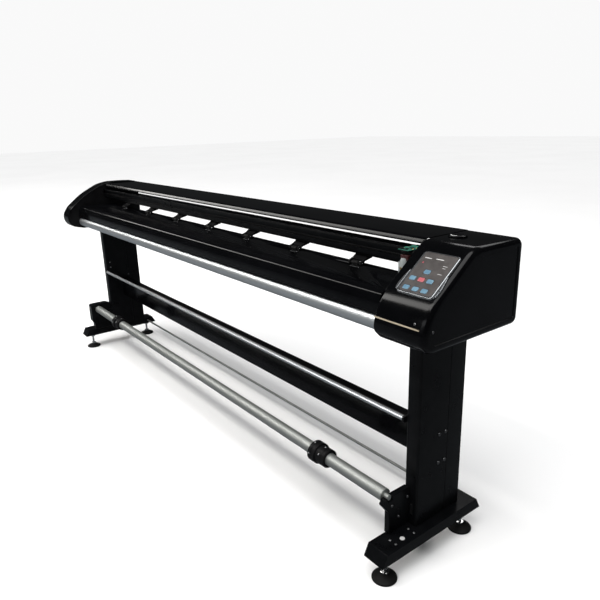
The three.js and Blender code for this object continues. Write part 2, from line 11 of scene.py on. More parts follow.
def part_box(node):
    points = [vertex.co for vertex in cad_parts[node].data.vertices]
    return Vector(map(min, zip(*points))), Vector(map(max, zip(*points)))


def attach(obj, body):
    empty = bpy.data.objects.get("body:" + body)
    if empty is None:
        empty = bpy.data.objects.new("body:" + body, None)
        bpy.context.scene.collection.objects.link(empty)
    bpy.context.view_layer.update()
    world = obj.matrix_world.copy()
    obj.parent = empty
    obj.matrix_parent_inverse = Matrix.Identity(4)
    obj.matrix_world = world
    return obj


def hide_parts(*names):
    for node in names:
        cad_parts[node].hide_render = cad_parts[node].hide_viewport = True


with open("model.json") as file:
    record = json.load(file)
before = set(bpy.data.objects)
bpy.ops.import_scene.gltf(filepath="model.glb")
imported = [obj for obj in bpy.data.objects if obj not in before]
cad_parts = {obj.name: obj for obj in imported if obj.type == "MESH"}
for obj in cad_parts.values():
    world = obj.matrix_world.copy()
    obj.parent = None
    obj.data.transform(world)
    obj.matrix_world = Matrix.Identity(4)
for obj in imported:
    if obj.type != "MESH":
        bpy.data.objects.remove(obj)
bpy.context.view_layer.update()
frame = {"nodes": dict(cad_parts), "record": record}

ROOT = "body"
MM = 0.001
SIDES = (("left", -1), ("right", 1))


# ---- camera and light ---------------------------------------------------------------------------
CAMERA_PLACE = (2.3032, -1.2456, 1.3331)
CAMERA_TURN = (math.radians(73.1085), math.radians(1.5048), math.radians(52.2153))
CAMERA_LENS = 34.79
CAMERA_SENSOR = 36
CAMERA_REACH = 100

# name, place, target, width and height, power, colour
AREA_LIGHTS = (
    ("top_strip", (-4.0, -2.4, 4.0), (-4.0, 0, 0.8), (13.0, 0.7), 300, (1, 0.98, 0.95)),
    ("front_softbox", (0.6, -4.4, 2.6), (0, 0, 0.7), (4.5, 0.9), 30, (0.94, 0.97, 1)),
    ("rear_softbox", (-0.5, 4.6, 4.4), (0, 0, 0.9), (4.5, 0.8), 30, (1, 1, 1)),
)
CEILING_STRENGTH = 3.0
CEILING_SPREAD = math.radians(50)
CEILING_TURN = (math.radians(8), math.radians(10), 0)
FILL_COLOUR = (0.86, 0.88, 0.9, 1)
FILL_STRENGTH = 0.025
BACKDROP_COLOUR = (0.95, 0.95, 0.95, 1)


def make_camera():
    data = bpy.data.cameras.new("camera")
    data.sensor_width = CAMERA_SENSOR
    data.lens = CAMERA_LENS
    data.clip_end = CAMERA_REACH
    camera = bpy.data.objects.new("camera", data)
    bpy.context.collection.objects.link(camera)
    camera.matrix_world = Matrix.LocRotScale(Vector(CAMERA_PLACE), Euler(CAMERA_TURN), None)
    bpy.context.scene.camera = camera


def area_light(name, place, target, size, power, colour):
    """A rectangular lamp that faces its target."""
    data = bpy.data.lights.new(name, "AREA")
    data.shape = "RECTANGLE"
    data.size, data.size_y = size
    data.energy = power
    data.color = colour
    lamp = bpy.data.objects.new(name, data)
    bpy.context.collection.objects.link(lamp)
    lamp.location = place
    lamp.rotation_mode = "QUATERNION"
    lamp.rotation_quaternion = (Vector(target) - Vector(place)).to_track_quat("-Z", "Y")


def ceiling_light():
    """Very soft light from above, as from a lit white ceiling."""
    data = bpy.data.lights.new("ceiling", "SUN")
    data.energy = CEILING_STRENGTH
    data.angle = CEILING_SPREAD
    lamp = bpy.data.objects.new("ceiling", data)
    bpy.context.collection.objects.link(lamp)
    lamp.rotation_euler = CEILING_TURN


def make_world():
    """Pale backdrop for the camera, with a much weaker fill for everything else."""
    world = bpy.data.worlds.new("studio")
    bpy.context.scene.world = world
    bpy.context.scene.view_settings.view_transform = "Standard"
    world.use_nodes = True
    nodes, links = world.node_tree.nodes, world.node_tree.links
    nodes.clear()
    out = nodes.new("ShaderNodeOutputWorld")
    mix = nodes.new("ShaderNodeMixShader")
    path = nodes.new("ShaderNodeLightPath")
    fill = nodes.new("ShaderNodeBackground")
    fill.inputs["Color"].default_value = FILL_COLOUR
    fill.inputs["Strength"].default_value = FILL_STRENGTH
    backdrop = nodes.new("ShaderNodeBackground")
    backdrop.inputs["Color"].default_value = BACKDROP_COLOUR
    links.new(path.outputs["Is Camera Ray"], mix.inputs["Fac"])
    links.new(fill.outputs[0], mix.inputs[1])
    links.new(backdrop.outputs[0], mix.inputs[2])
    links.new(mix.outputs[0], out.inputs["Surface"])


def make_light():
    for lamp in AREA_LIGHTS:
        area_light(*lamp)
    ceiling_light()
    make_world()


# ---- materials ----------------------------------------------------------------------------------
FINE_DETAIL, BROAD_DETAIL = 3, 4
BROAD_RATIO = 40
RAMP_START, RAMP_END = 0.3, 0.7
BUMP_HEIGHT = 0.0005
BLACK_SHEEN = {"Specular IOR Level": 0.13}
NO_SHEEN = {"Specular IOR Level": 0.0}
ALONG_TUBE = (0.004, 1, 1)
ALONG_STEEL = (0.05, 1, 1)
# dark grey painted into the floor's reflection in polished surfaces
FLOOR_PAINTED_REFLECTION = (0.13, 0.14, 0.15, 1)
LOOK = {}


def noise(nodes, scale, detail):
    """One noise texture node."""
    texture = nodes.new("ShaderNodeTexNoise")
    texture.inputs["Scale"].default_value = scale
    texture.inputs["Detail"].default_value = detail
    return texture


def add_look(name, dark, light, rough, metal=0.0, grain=400.0, bump=0.03, stretch=(1, 1, 1), extras=None):
    """Adds a surface: broad noise drives its colour and roughness, fine noise its height."""
    material = bpy.data.materials.new(name)
    material.use_nodes = True
    nodes, links = material.node_tree.nodes, material.node_tree.links
    shader = nodes["Principled BSDF"]
    shader.inputs["Metallic"].default_value = metal
    for socket, value in (extras or {}).items():
        shader.inputs[socket].default_value = value
    place = nodes.new("ShaderNodeTexCoord")
    spread = nodes.new("ShaderNodeMapping")
    spread.inputs["Scale"].default_value = stretch
    fine = noise(nodes, grain, FINE_DETAIL)
    broad = noise(nodes, grain / BROAD_RATIO, BROAD_DETAIL)
    ramp = nodes.new("ShaderNodeValToRGB")
    for stop, position, colour in zip(ramp.color_ramp.elements, (RAMP_START, RAMP_END), (dark, light)):
        stop.position = position
        stop.color = (*colour, 1)
    gloss = nodes.new("ShaderNodeMapRange")
    gloss.inputs["To Min"].default_value, gloss.inputs["To Max"].default_value = rough
    height = nodes.new("ShaderNodeBump")
    height.inputs["Strength"].default_value = bump
    height.inputs["Distance"].default_value = BUMP_HEIGHT
    links.new(place.outputs["Object"], spread.inputs["Vector"])
    links.new(spread.outputs["Vector"], fine.inputs["Vector"])
    links.new(spread.outputs["Vector"], broad.inputs["Vector"])
    links.new(broad.outputs["Fac"], ramp.inputs["Fac"])
    links.new(broad.outputs["Fac"], gloss.inputs["Value"])
    links.new(fine.outputs["Fac"], height.inputs["Height"])
    links.new(ramp.outputs["Color"], shader.inputs["Base Color"])
    links.new(gloss.outputs["Result"], shader.inputs["Roughness"])
    links.new(height.outputs["Normal"], shader.inputs["Normal"])
    LOOK[name] = material
    return material


def plastic_and_paint():
    add_look("gloss_black", (0.0012, 0.0013, 0.0016), (0.0024, 0.0025, 0.0030), (0.10, 0.17),
             grain=260, bump=0.025, extras=BLACK_SHEEN)
    add_look("painted_frame", (0.0016, 0.0018, 0.0022), (0.0032, 0.0034, 0.0040), (0.24, 0.34),
             grain=900, bump=0.10, extras=BLACK_SHEEN)
    add_look("satin_black", (0.003, 0.003, 0.0034), (0.0055, 0.0055, 0.006), (0.42, 0.55),
             grain=1200, bump=0.12, extras=BLACK_SHEEN)
    add_look("black_rubber", (0.003, 0.003, 0.003), (0.007, 0.007, 0.007), (0.5, 0.7),
             grain=1500, bump=0.25, extras=BLACK_SHEEN)
    add_look("smoked_plastic", (0.20, 0.22, 0.22), (0.32, 0.34, 0.34), (0.10, 0.18), grain=400, bump=0.02)
    # cream colour of the painted highlight along the right housing's nose
    add_look("cream_painted_highlight", (0.26, 0.22, 0.16), (0.36, 0.31, 0.23), (0.25, 0.35), grain=800, bump=0.03)
    add_look("dark_red", (0.030, 0.006, 0.007), (0.055, 0.010, 0.011), (0.35, 0.5), grain=900, bump=0.05)


def metals():
    add_look("bright_metal", (0.62, 0.65, 0.67), (0.72, 0.74, 0.75), (0.42, 0.50),
             metal=1.0, grain=700, bump=0.02, stretch=ALONG_TUBE)
    add_look("drawn_metal", (0.36, 0.38, 0.37), (0.46, 0.47, 0.45), (0.52, 0.62),
             metal=1.0, grain=700, bump=0.03, stretch=ALONG_TUBE)
    add_look("steel", (0.42, 0.43, 0.44), (0.56, 0.57, 0.58), (0.20, 0.32),
             metal=1.0, grain=600, bump=0.06, stretch=ALONG_STEEL)
    add_look("dark_steel", (0.16, 0.162, 0.166), (0.24, 0.242, 0.246), (0.28, 0.42),
             metal=1.0, grain=700, bump=0.05)
    add_look("chrome", (0.72, 0.72, 0.73), (0.80, 0.80, 0.80), (0.06, 0.14), metal=1.0, grain=300, bump=0.01)
    add_look("brass", (0.52, 0.36, 0.14), (0.64, 0.46, 0.20), (0.22, 0.34), metal=1.0, grain=600, bump=0.04)


def console_and_board():
    add_look("panel_grey", (0.055, 0.050, 0.049), (0.082, 0.075, 0.072), (0.26, 0.36), grain=1800, bump=0.06)
    add_look("key_blue", (0.09, 0.18, 0.26), (0.13, 0.24, 0.32), (0.30, 0.42), grain=1500, bump=0.05)
    add_look("key_red", (0.36, 0.08, 0.10), (0.46, 0.12, 0.13), (0.30, 0.42), grain=1500, bump=0.05)
    # pale colour of printed marks and the foot plugs, also used for the knob's painted glint
    add_look("pale_mark_and_glint", (0.42, 0.42, 0.42), (0.56, 0.56, 0.55), (0.4, 0.5), grain=900, bump=0.03)
    add_look("clear_bezel", (0.19, 0.20, 0.21), (0.27, 0.28, 0.29), (0.14, 0.22),
             metal=0.8, grain=400, bump=0.01)
    add_look("board_green", (0.012, 0.075, 0.055), (0.025, 0.120, 0.085), (0.3, 0.5), grain=1400, bump=0.2)
    add_look("green_pad", (0.020, 0.130, 0.090), (0.035, 0.190, 0.130), (0.3, 0.5), grain=1400, bump=0.1)


def floor_look():
    """Pale matt floor that shows as a dark grey in the object's polished surfaces: a painted reflection that
    keeps the blacks deep.
    """
    material = add_look("floor", (0.93, 0.93, 0.93), (0.96, 0.96, 0.96), (0.9, 1.0),
                        grain=20, bump=0.0, extras=NO_SHEEN)
    nodes, links = material.node_tree.nodes, material.node_tree.links
    shader = nodes["Principled BSDF"]
    pale = shader.inputs["Base Color"].links[0].from_socket
    # painted reflection: glossy rays see the floor dark grey instead of pale
    path = nodes.new("ShaderNodeLightPath")
    mix = nodes.new("ShaderNodeMix")
    mix.data_type = "RGBA"
    mix.inputs["B"].default_value = FLOOR_PAINTED_REFLECTION
    links.new(path.outputs["Is Glossy Ray"], mix.inputs["Factor"])
    links.new(pale, mix.inputs["A"])
    links.new(mix.outputs["Result"], shader.inputs["Base Color"])


# ---- mesh helpers -------------------------------------------------------------------------------
ACROSS = {"x": (1, 2), "y": (0, 2), "z": (0, 1)}
WELD = 1e-6
COPY_WELD = 2e-6
SMOOTH_ANGLE = 35
FLAT_ANGLE = math.radians(1)
CORNER_SHARE = 0.49
HAIR_EDGE, FINE_EDGE, PLATE_EDGE = 0.0003, 0.0006, 0.0012
SCREW_SEGMENTS = 24
SCREW_HEIGHT = 0.55
# (share of the height, share of the radius) from the rim over the button head down into its socket
SCREW_PROFILE = ((0, 0.98), (0.2, 1.0), (0.55, 0.93), (0.85, 0.72), (1.0, 0.52), (0.97, 0.44), (0.35, 0.40))
SOCKET_SHARE = 0.44
SOCKET_FIT = 0.9


def place_on(axis, a, b, along):
    """Outline pairs are (Y, Z) along X, (X, Z) along Y and (X, Y) along Z."""
    return {"x": (along, a, b), "y": (a, along, b), "z": (a, b, along)}[axis]


def middle_line(node, axis):
    """Outline pair of the line through the middle of a node's box."""
    low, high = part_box(node)
    return tuple((low[i] + high[i]) / 2 for i in ACROSS[axis])


def rectangle(a_low, b_low, a_high, b_high):
    """Four corners, anticlockwise from the lowest."""
    return [(a_low, b_low), (a_high, b_low), (a_high, b_high), (a_low, b_high)]


def circle(centre, radius, segments):
    """Points evenly spaced round a circle, anticlockwise from its +A side."""
    turns = [2 * math.pi * i / segments for i in range(segments)]
    return [(centre[0] + radius * math.cos(t), centre[1] + radius * math.sin(t)) for t in turns]


def add_object(name, bm, look, smooth=SMOOTH_ANGLE):
    """Turns a bmesh into a linked object, smooth except at edges sharper than the given degrees."""
    bmesh.ops.remove_doubles(bm, verts=bm.verts, dist=WELD)
    bmesh.ops.recalc_face_normals(bm, faces=bm.faces)
    for face in bm.faces:
        face.smooth = True
    for edge in bm.edges:
        if len(edge.link_faces) == 2:
            edge.smooth = edge.calc_face_angle(0) < math.radians(smooth)
    data = bpy.data.meshes.new(name)
    bm.to_mesh(data)
    bm.free()
    piece = bpy.data.objects.new(name, data)
    bpy.context.collection.objects.link(piece)
    data.materials.append(LOOK[look])
    return piece


def bevelled(piece, width, segments=3, angle=40):
    """Rounds the edges that are sharper than the given degrees."""
    bevel = piece.modifiers.new("edges", "BEVEL")
    bevel.width = width
    bevel.segments = segments
    bevel.limit_method = "ANGLE"
    bevel.angle_limit = math.radians(angle)
    bevel.harden_normals = True
    return piece


def settle(piece, body=ROOT, replaces=()):
    """Rides a piece on its body and hides the CAD nodes that it stands for."""
    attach(piece, body)
    if replaces:
        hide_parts(*replaces)
    return piece


def rounded(points, radius, steps=6):
    """Outline with each corner turned into an arc; radius is one value or one for each corner."""
    radii = radius if isinstance(radius, (list, tuple)) else [radius] * len(points)
    result = []
    for i, corner in enumerate(points):
        here = Vector(corner)
        before = Vector(points[i - 1]) - here
        after = Vector(points[(i + 1) % len(points)]) - here
        turn = math.pi - before.angle(after)
        reach = min(radii[i] * math.tan(turn / 2), before.length * CORNER_SHARE, after.length * CORNER_SHARE)
        if reach < WELD:
            result.append(tuple(here))
            continue
        before.normalize()
        after.normalize()
        arc_radius = reach / math.tan(turn / 2)
        centre = here + (before + after).normalized() * (arc_radius / math.cos(turn / 2))
        spoke = here + before * reach - centre
        way = 1 if before.x * after.y - before.y * after.x < 0 else -1
        for k in range(steps + 1):
            angle = way * turn * k / steps
            c, s = math.cos(angle), math.sin(angle)
            result.append((centre.x + spoke.x * c - spoke.y * s, centre.y + spoke.x * s + spoke.y * c))
    return result


def inset(points, distance):
    """Moves each side of a closed outline inwards by the same distance."""
    count = len(points)
    area = sum(points[i - 1][0] * points[i][1] - points[i][0] * points[i - 1][1] for i in range(count))
    side = 1 if area > 0 else -1
    result = []
    for i, point in enumerate(points):
        here = Vector(point)
        before = (here - Vector(points[i - 1])).normalized()
        after = (Vector(points[(i + 1) % count]) - here).normalized()
        n0 = Vector((-before.y, before.x)) * side
        n1 = Vector((-after.y, after.x)) * side
        result.append(tuple(here + (n0 + n1) * (distance / (1 + n0.dot(n1)))))
    return result


def sheet_outline(line, thick):
    """Closed section of a bent sheet whose outer face follows an open line."""
    under = []
    for i, point in enumerate(line):
        before = Vector(line[max(i - 1, 0)])
        after = Vector(line[min(i + 1, len(line) - 1)])
        way = (after - before).normalized()
        under.append((point[0] + way.y * thick, point[1] - way.x * thick))
    return line + under[::-1]


def skin(rings, cap_start=True, cap_end=True):
    """Joins rings of points, all of one length, into a surface."""
    bm = bmesh.new()
    made = [[bm.verts.new(p) for p in ring] for ring in rings]
    for low, high in zip(made, made[1:]):
        for i in range(len(low)):
            j = (i + 1) % len(low)
            bm.faces.new((low[i], low[j], high[j], high[i]))
    if cap_start:
        bm.faces.new(made[0][::-1])
    if cap_end:
        bm.faces.new(made[-1])
    return bm


def prism(name, axis, outline, start, end, look, bevel, smooth=SMOOTH_ANGLE):
    """Outline carried straight along an axis, with bevelled edges unless bevel is 0."""
    rings = [[place_on(axis, a, b, along) for a, b in outline] for along in (start, end)]
    piece = add_object(name, skin(rings), look, smooth)
    if bevel:
        bevelled(piece, bevel)
    return piece


def box_piece(name, low, high, look, bevel):
    """Block between two opposite corners."""
    return prism(name, "x", rectangle(*low[1:], *high[1:]), low[0], high[0], look, bevel)


def turned(name, axis, profile, centre, look, segments=64, smooth=SMOOTH_ANGLE):
    """Lathe piece: profile pairs are (place along the axis, radius)."""
    rings = []
    for along, radius in profile:
        rings.append([place_on(axis, a, b, along) for a, b in circle(centre, radius, segments)])
    return add_object(name, skin(rings), look, smooth)


def ring_piece(name, profile, centre, look):
    """Open-bored ring along X: profile pairs run once round its section."""
    rings = []
    for x, radius in [*profile, profile[0]]:
        rings.append([(x, y, z) for y, z in circle(centre, radius, segments=64)])
    return add_object(name, skin(rings, False, False), look)


def carve(piece, tool):
    """Takes one closed tool out of a piece, keeps the result and drops the tool."""
    cut = piece.modifiers.new("cut", "BOOLEAN")
    cut.object = tool
    cut.solver = "EXACT"
    evaluated = piece.evaluated_get(bpy.context.evaluated_depsgraph_get())
    data = bpy.data.meshes.new_from_object(evaluated)
    piece.modifiers.clear()
    old = piece.data
    piece.data = data
    bpy.data.meshes.remove(old)
    data.name = piece.name
    bpy.data.objects.remove(tool)


def carve_boxes(piece, boxes):
    """Takes boxes, given as low and high corners, out of a piece."""
    for low, high in boxes:
        carve(piece, box_piece("cutter", low, high, "satin_black", bevel=0))


def soft_copy(node, look, bevel, body=ROOT, segments=3):
    """A CAD solid of the right shape, rebuilt with clean faces and rounded edges."""
    bm = bmesh.new()
    bm.from_mesh(frame["nodes"][node].data)
    bmesh.ops.remove_doubles(bm, verts=bm.verts, dist=COPY_WELD)
    bmesh.ops.dissolve_limit(bm, angle_limit=FLAT_ANGLE, verts=bm.verts, edges=bm.edges)
    piece = add_object(node + "_shape", bm, look)
    bevelled(piece, bevel, segments)
    return settle(piece, body, replaces=(node,))


def screw_rings(centre, normal, radius):
    """Rings of one button-head screw with a hexagon socket, standing on a face."""
    normal = Vector(normal).normalized()
    side = normal.orthogonal().normalized()
    other = normal.cross(side)
    rings = []
    for rise, share in SCREW_PROFILE:
        ring = []
        spot = Vector(centre) + normal * (rise * radius * SCREW_HEIGHT)
        for i in range(SCREW_SEGMENTS):
            angle = 2 * math.pi * i / SCREW_SEGMENTS
            reach = radius * share
            if share <= SOCKET_SHARE:
                reach *= SOCKET_FIT / math.cos((angle % (math.pi / 3)) - math.pi / 6)
            ring.append(spot + side * (reach * math.cos(angle)) + other * (reach * math.sin(angle)))
        rings.append(ring)
    return rings


def screws(name, places, look, body=ROOT):
    """One object holding screws, each given as centre, normal and radius."""
    whole = bmesh.new()
    for centre, normal, radius in places:
        part = skin(screw_rings(centre, normal, radius))
        data = bpy.data.meshes.new("part")
        part.to_mesh(data)
        part.free()
        whole.from_mesh(data)
        bpy.data.meshes.remove(data)
    return settle(add_object(name, whole, look), body)


# ---- stand --------------------------------------------------------------------------------------
# (height, share of the pad's radius) of the domed rubber pad
PAD_DOME = ((0, 0.97), (0.0012, 1), (0.0045, 1), (0.0062, 0.975), (0.009, 0.88), (0.013, 0.68),
            (0.0165, 0.5), (0.019, 0.40), (0.0205, 0.36))
SOCKET_PROFILE = ((0.0207, 0.0125), (0.0215, 0.0132), (0.0255, 0.0132), (0.0262, 0.0122))
STUD_BOTTOM = 0.0264
STUD_CREST, STUD_ROOT = 0.0060, 0.0053
STUD_STEPS = 56
NUT_BOTTOM, NUT_TOP, NUT_RADIUS = 0.0665, 0.0810, 0.0145

COLUMN_ROUND = 0.007
GROOVE_Y, GROOVE_DEPTH = 0.082, 0.0014
GROOVE_HALF_MOUTH, GROOVE_HALF_FLOOR = 0.0015, 0.0005

LUG_THICK, LUG_ROUND = 0.008, 0.006
GUIDE_ROD_RADIUS, GUIDE_ROD_INSET = 0.0074, 0.009
TIE_ROD_RADIUS = 0.0052
ROD_CHAMFER, GUIDE_ROD_CHAMFER_LENGTH, TIE_ROD_CHAMFER_LENGTH = 0.0006, 0.001, 0.0008

FOOT_SCREW_X, FOOT_SCREW_Y, FOOT_SCREW_RADIUS = (-0.003, 0.020), (-0.156, -0.075), 0.0045
FOOT_PLUG_X, FOOT_PLUG_Y = 0.015, -0.122
FOOT_PLUG_PROFILE = ((0, 0.0078), (0.0012, 0.0078), (0.0020, 0.0068))
BEAM_BOLT_Y, BEAM_BOLT_Z, BEAM_BOLT_RADIUS = (0.043, 0.073), (0.312, 0.411), 0.0062
COLUMN_SCREWS, COLUMN_SCREW_RADIUS = ((-0.028, 0.534), (-0.028, 0.500), (0.082, 0.438)), 0.004
COLUMN_SLOT_X, COLUMN_SLOT_Z, COLUMN_SLOT_RAISED = (0.026, 0.034), (0.158, 0.194), 0.0008


def levelling_foot(node):
    """Domed rubber pad, chrome socket, threaded stud and lock nut."""
    low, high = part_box(node)
    centre = middle_line(node, "z")
    pad = (high.x - low.x) / 2
    dome = [(along, pad * share) for along, share in PAD_DOME]
    base = turned(node + "_pad", "z", dome, centre, "black_rubber", segments=72)
    settle(base, node, (node,))
    socket = turned(node + "_socket", "z", SOCKET_PROFILE, centre, "chrome", segments=48)
    settle(socket, node)
    thread = []
    for k in range(STUD_STEPS + 1):
        along = STUD_BOTTOM + (high.z - STUD_BOTTOM) * k / STUD_STEPS
        thread.append((along, STUD_CREST if k % 2 else STUD_ROOT))
    stud = turned(node + "_stud", "z", thread, centre, "chrome", segments=32, smooth=60)
    settle(stud, node)
    hexagon = rounded(circle(centre, NUT_RADIUS, segments=6), radius=0.001, steps=2)
    nut = prism(node + "_nut", "z", hexagon, NUT_BOTTOM, NUT_TOP, "chrome", bevel=0.0008)
    settle(nut, node)


def groove(face, way):
    """Points of the fine groove down a column's face; way points into the metal."""
    floor = face + way * GROOVE_DEPTH
    return [(face, GROOVE_Y - GROOVE_HALF_MOUTH), (floor, GROOVE_Y - GROOVE_HALF_FLOOR),
            (floor, GROOVE_Y + GROOVE_HALF_FLOOR), (face, GROOVE_Y + GROOVE_HALF_MOUTH)]


def column_shape(node):
    """Upright with rounded corners and a fine groove down each broad face."""
    low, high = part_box(node)
    corners = rounded(rectangle(low.x, low.y, high.x, high.y), COLUMN_ROUND, steps=5)
    front = len(corners) // 2
    outline = corners[:front] + groove(high.x, -1) + corners[front:] + groove(low.x, 1)[::-1]
    piece = prism(node + "_shell", "z", outline, low.z, high.z, "painted_frame", bevel=0.0008, smooth=30)
    settle(piece, ROOT, (node,))


def rod_profile(start, end, radius, chamfer_length):
    """Lathe profile of a plain rod with chamfered ends."""
    return [(start, radius - ROD_CHAMFER), (start + chamfer_length, radius),
            (end - chamfer_length, radius), (end, radius - ROD_CHAMFER)]


def make_guide_rod():
    """Bright rod between its two end lugs."""
    low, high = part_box("guide_rod")
    centre = (low.y + GUIDE_ROD_INSET, (low.z + high.z) / 2)
    hidden = LUG_THICK - GUIDE_ROD_CHAMFER_LENGTH
    rod = rod_profile(low.x + hidden, high.x - hidden, GUIDE_ROD_RADIUS, GUIDE_ROD_CHAMFER_LENGTH)
    bar = turned("guide_rod_bar", "x", rod, centre, "bright_metal", segments=48)
    settle(bar, ROOT, ("guide_rod",))
    section = rounded(rectangle(low.y, low.z, high.y, high.z), LUG_ROUND, steps=5)
    for side, start in (("left", low.x), ("right", high.x - LUG_THICK)):
        lug = prism("guide_rod_lug_" + side, "x", section, start, start + LUG_THICK, "painted_frame",
                    bevel=0.001)
        settle(lug, ROOT)


def make_tie_rod():
    low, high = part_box("tie_rod")
    profile = rod_profile(low.x, high.x, TIE_ROD_RADIUS, TIE_ROD_CHAMFER_LENGTH)
    centre = middle_line("tie_rod", "x")
    bar = turned("tie_rod_bar", "x", profile, centre, "drawn_metal", segments=40)
    settle(bar, ROOT, ("tie_rod",))


def make_stand():
    for side, _ in SIDES:
        column_shape("column_" + side)
        soft_copy("foot_beam_" + side, "painted_frame", bevel=0.0016)
        for end in ("front", "rear"):
            levelling_foot(f"levelling_foot_{side}_{end}")
    soft_copy("lower_beam", "gloss_black", PLATE_EDGE)
    make_guide_rod()
    make_tie_rod()


def foot_fittings():
    """Screws and a pale plug on top of each foot beam."""
    low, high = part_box("foot_beam_right")
    middle = (low.x + high.x) / 2
    spots = []
    for _, mirror in SIDES:
        for y in FOOT_SCREW_Y:
            for x in FOOT_SCREW_X:
                spots.append(((mirror * (middle + x), y, high.z), (0, 0, 1), FOOT_SCREW_RADIUS))
    screws("foot_screws", spots, "dark_steel")
    cap = [(high.z + along, radius) for along, radius in FOOT_PLUG_PROFILE]
    for side, mirror in SIDES:
        centre = (mirror * (middle + FOOT_PLUG_X), FOOT_PLUG_Y)
        plug = turned("foot_plug_" + side, "z", cap, centre, "pale_mark_and_glint", segments=32)
        settle(plug, ROOT)


def column_fittings():
    """Beam bolts on the outer faces, screws on the inner faces and a slot in the right column."""
    low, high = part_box("column_right")
    outer, inner = [], []
    for _, mirror in SIDES[::-1]:
        for z in BEAM_BOLT_Z:
            for y in BEAM_BOLT_Y:
                outer.append(((mirror * high.x, y, z), (mirror, 0, 0), BEAM_BOLT_RADIUS))
    screws("beam_bolts", outer, "dark_steel")
    for _, mirror in SIDES:
        for y, z in COLUMN_SCREWS:
            inner.append(((mirror * low.x, y, z), (-mirror, 0, 0), COLUMN_SCREW_RADIUS))
    screws("column_screws", inner, "steel")
    (x_low, x_high), (z_low, z_high) = COLUMN_SLOT_X, COLUMN_SLOT_Z
    slot = box_piece("column_slot", (low.x + x_low, low.y - COLUMN_SLOT_RAISED, z_low),
                     (low.x + x_high, low.y, z_high), "dark_steel", HAIR_EDGE)
    settle(slot, ROOT)


# ---- take-up ------------------------------------------------------------------------------------
TUBE_CHAMFER, SPINDLE_CHAMFER = 0.001, 0.0006
COLLAR_BORE = 0.0222
COLLAR_STEP = 0.005
COLLAR_CHAMFER = 0.0015
COLLAR_SCREW_TURNS, COLLAR_SCREW_RADIUS, COLLAR_SCREW_SUNK = (80, 150, 215, 280), 0.0036, 0.001
BRACKET_SCREWS, BRACKET_SCREW_RADIUS = ((-0.059, 0.219), (-0.128, 0.217), (-0.098, 0.166)), 0.005
MOTOR_BOX_SCREWS = ((-0.070, 0.140), (-0.150, 0.190), (-0.150, 0.262), (-0.070, 0.250))
MOTOR_BOX_SCREW_RADIUS = 0.004


def tube_piece(node, radius, spindle, left_end, right_end, look):
    """Tube with a slimmer spindle standing out of each end by the given lengths."""
    low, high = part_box(node)
    left, right = low.x + left_end, high.x - right_end
    profile = [
        (low.x, spindle - SPINDLE_CHAMFER), (low.x + SPINDLE_CHAMFER, spindle), (left, spindle),
        (left, radius - TUBE_CHAMFER), (left + TUBE_CHAMFER, radius), (right - TUBE_CHAMFER, radius),
        (right, radius - TUBE_CHAMFER), (right, spindle), (high.x - SPINDLE_CHAMFER, spindle),
        (high.x, spindle - SPINDLE_CHAMFER),
    ]
    tube = turned(node + "_skin", "x", profile, middle_line(node, "x"), look, segments=96)
    settle(tube, node, (node,))


def collar(node):
    """Roll-end collar: wide grooved rim, slimmer grooved sleeve, clamp screws round both."""
    low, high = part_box(node)
    centre = middle_line(node, "x")
    outer = (high.z - low.z) / 2
    sleeve = outer - COLLAR_STEP
    a, b = low.x, high.x
    rim = [(a, COLLAR_BORE), (a, outer - COLLAR_CHAMFER), (a + COLLAR_CHAMFER, outer), (a + 0.0145, outer),
           (a + 0.0155, outer - 0.0012), (a + 0.0180, outer - 0.0012), (a + 0.0190, outer),
           (a + 0.0325, outer), (a + 0.034, outer - COLLAR_CHAMFER)]
    tail = [(a + 0.034, sleeve), (b - 0.0155, sleeve), (b - 0.0150, sleeve - 0.0010),
            (b - 0.0128, sleeve - 0.0010), (b - 0.0123, sleeve), (b - COLLAR_CHAMFER, sleeve),
            (b, sleeve - COLLAR_CHAMFER), (b, COLLAR_BORE)]
    ring = ring_piece(node + "_ring", rim + tail, centre, "satin_black")
    settle(ring, node, (node,))
    spots = []
    for x, radius, shift in ((a + 0.009, outer, 20), (b - 0.028, sleeve, 0)):
        for turn in COLLAR_SCREW_TURNS:
            way = math.radians(turn + shift)
            normal = (0, math.cos(way), math.sin(way))
            reach = radius - COLLAR_SCREW_SUNK
            place = (x, centre[0] + reach * normal[1], centre[1] + reach * normal[2])
            spots.append((place, normal, COLLAR_SCREW_RADIUS))
    screws(node + "_screws", spots, "steel", node)


def make_takeup():
    tube_piece("takeup_tube", radius=0.0215, spindle=0.009, left_end=0.011, right_end=0.017,
               look="drawn_metal")
    collar("takeup_collar_left")
    collar("takeup_collar_right")
    soft_copy("takeup_bracket", "painted_frame", bevel=PLATE_EDGE)
    soft_copy("takeup_motor_box", "painted_frame", bevel=0.003, segments=4)
    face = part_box("takeup_bracket")[1].x
    spots = [((face, y, z), (1, 0, 0), BRACKET_SCREW_RADIUS) for y, z in BRACKET_SCREWS]
    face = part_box("takeup_motor_box")[0].x
    spots += [((face, y, z), (-1, 0, 0), MOTOR_BOX_SCREW_RADIUS) for y, z in MOTOR_BOX_SCREWS]
    screws("takeup_screws", spots, "dark_steel")


